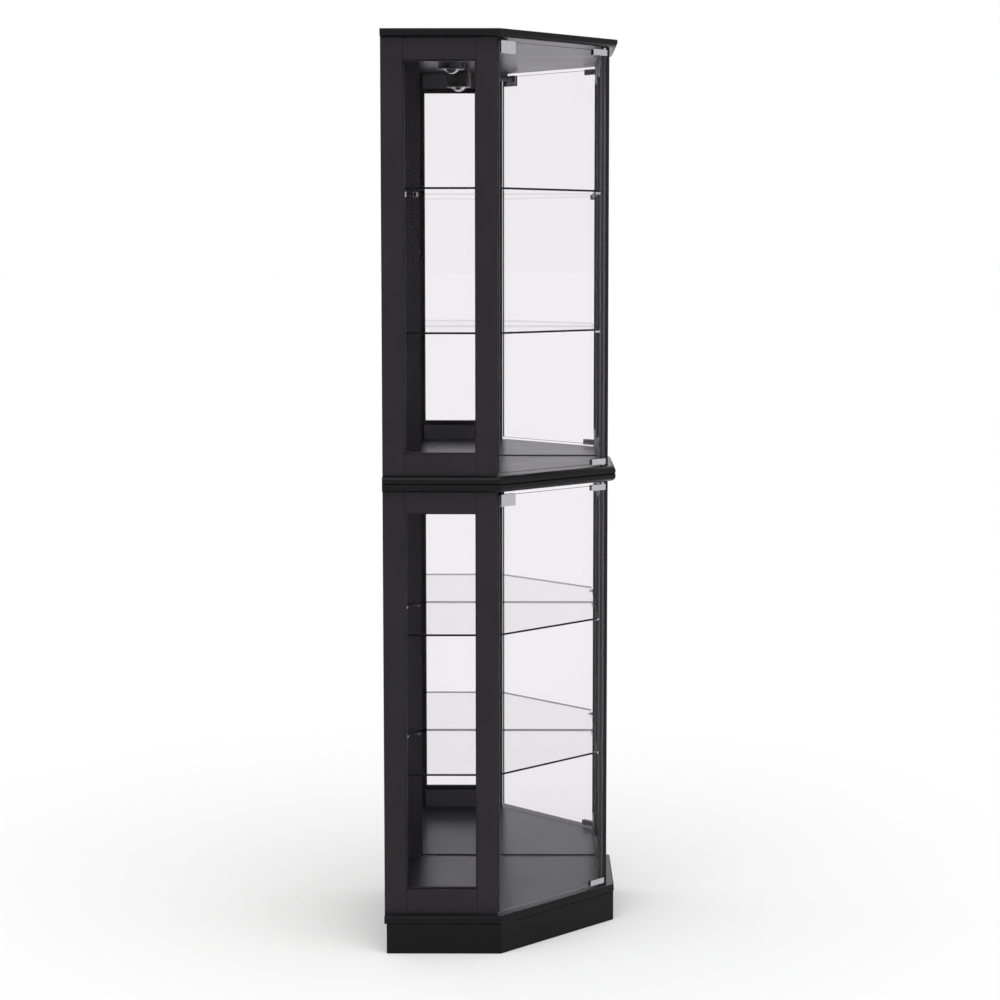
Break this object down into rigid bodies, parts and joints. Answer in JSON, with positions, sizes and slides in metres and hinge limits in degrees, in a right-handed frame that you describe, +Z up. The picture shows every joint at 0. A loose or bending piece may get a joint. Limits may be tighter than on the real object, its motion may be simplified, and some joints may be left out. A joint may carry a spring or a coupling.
{
  "type": "corner curio cabinet",
  "caption": "Tall five-sided corner display cabinet with stacked glazed units, frameless glass doors, glass shelves, mirrored back walls, a lamp under the crown and a plinth.",
  "frame": {"origin": "middle of the bounding box at floor level", "axes": "+Z up; the doors face -Y; the rear corner, where the two mirrored walls meet, is on +Y; +X is to the right when facing the doors"},
  "size_m": [0.659, 0.494, 1.82],
  "materials": {
    "black_paint": "satin black paint on wood",
    "hardboard": "dark hardboard",
    "raw_wood": "bare softwood",
    "mirror": "silvered glass",
    "shelf_glass": "clear, polished edges",
    "side_glass": "clear",
    "door_glass": "clear, polished edges",
    "chrome": "polished",
    "magnet_steel": "bright nickel",
    "bolt_steel": "dark zinc",
    "black_plastic": "matte",
    "lamp_black": "semi-gloss black",
    "lamp_lens": "clear lens"
  },
  "bodies": {
    "cabinet": {"crown_board": "black_paint", "waist_upper_board": "black_paint", "waist_lower_board": "black_paint", "floor_board": "black_paint", "plinth_front_rail": "black_paint", "plinth_left_rail": "black_paint", "plinth_right_rail": "black_paint", "plinth_left_back_rail": "black_paint", "plinth_right_back_rail": "black_paint", "plinth_blocks": "raw_wood", "upper_left_wall_stile": "black_paint", "upper_left_front_stile": "black_paint", "upper_left_rails": "black_paint", "upper_left_glass": "side_glass", "upper_right_wall_stile": "black_paint", "upper_right_front_stile": "black_paint", "upper_right_rails": "black_paint", "upper_right_glass": "side_glass", "upper_glazing_beads": "black_paint", "upper_rear_post": "black_paint", "upper_left_back": "hardboard", "upper_left_mirror": "mirror", "upper_right_back": "hardboard", "upper_right_mirror": "mirror", "upper_shelf_1": "shelf_glass", "upper_shelf_2": "shelf_glass", "lower_left_wall_stile": "black_paint", "lower_left_front_stile": "black_paint", "lower_left_rails": "black_paint", "lower_left_glass": "side_glass", "lower_right_wall_stile": "black_paint", "lower_right_front_stile": "black_paint", "lower_right_rails": "black_paint", "lower_right_glass": "side_glass", "lower_glazing_beads": "black_paint", "lower_rear_post": "black_paint", "lower_left_back": "hardboard", "lower_left_mirror": "mirror", "lower_right_back": "hardboard", "lower_right_mirror": "mirror", "lower_shelf_1": "shelf_glass", "lower_shelf_2": "shelf_glass", "shelf_pins": "chrome", "pivot_bushes": "black_plastic", "joining_bolts": "bolt_steel", "lamp_housing": "lamp_black", "lamp_ring": "lamp_black", "lamp_bulb": "lamp_lens", "cord_grommet": "black_plastic", "upper_catch_body": "black_plastic", "lower_catch_body": "black_plastic"},
    "upper_door": {"upper_door_glass": "door_glass", "upper_door_hinges": "chrome", "upper_strike_plate": "chrome"},
    "lower_door": {"lower_door_glass": "door_glass", "lower_door_hinges": "chrome", "lower_strike_plate": "chrome"},
    "upper_catch_plunger": {"upper_catch_plunger": "magnet_steel"},
    "lower_catch_plunger": {"lower_catch_plunger": "magnet_steel"}
  },
  "joints": [
    {"name": "upper_door_hinge", "type": "hinge", "parent": "cabinet", "child": "upper_door", "pos_m": [0.14349, -0.2305, 1.38], "axis": [0, 0, 1], "range_deg": [0, 110]},
    {"name": "lower_door_hinge", "type": "hinge", "parent": "cabinet", "child": "lower_door", "pos_m": [0.14349, -0.2305, 0.5], "axis": [0, 0, 1], "range_deg": [0, 110]},
    {"name": "upper_catch_push", "type": "slide", "parent": "cabinet", "child": "upper_catch_plunger", "axis": [0, 1, 0], "range_m": [0, 0.004], "stiffness_N_per_m": 400, "springref_m": -0.004},
    {"name": "lower_catch_push", "type": "slide", "parent": "cabinet", "child": "lower_catch_plunger", "axis": [0, 1, 0], "range_m": [0, 0.004], "stiffness_N_per_m": 400, "springref_m": -0.004}
  ]
}
